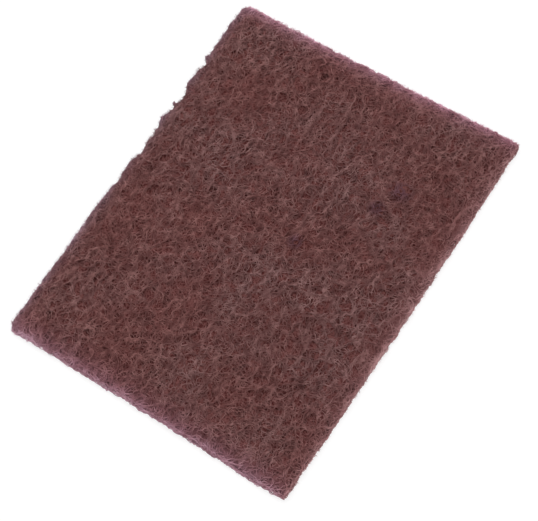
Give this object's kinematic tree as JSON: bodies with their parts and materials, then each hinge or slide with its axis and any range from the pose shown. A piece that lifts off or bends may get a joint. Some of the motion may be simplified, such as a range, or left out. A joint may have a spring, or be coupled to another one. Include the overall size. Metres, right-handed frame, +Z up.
{
  "type": "abrasive hand pad",
  "caption": "Rectangular very fine abrasive hand pad, a sheet of bonded crimped fibre web lying flat, with pinched and slightly frayed cut edges.",
  "frame": {"origin": "centre of the bounding box's base, on the flat underside", "axes": "+Z up through the thickness, +Y along the long side, +X along the short side"},
  "size_m": [0.1606, 0.229, 0.0072],
  "materials": {
    "fibre_web": "matte fibre web, maroon"
  },
  "bodies": {
    "root": {"abrasive_web": "fibre_web"}
  },
  "joints": []
}
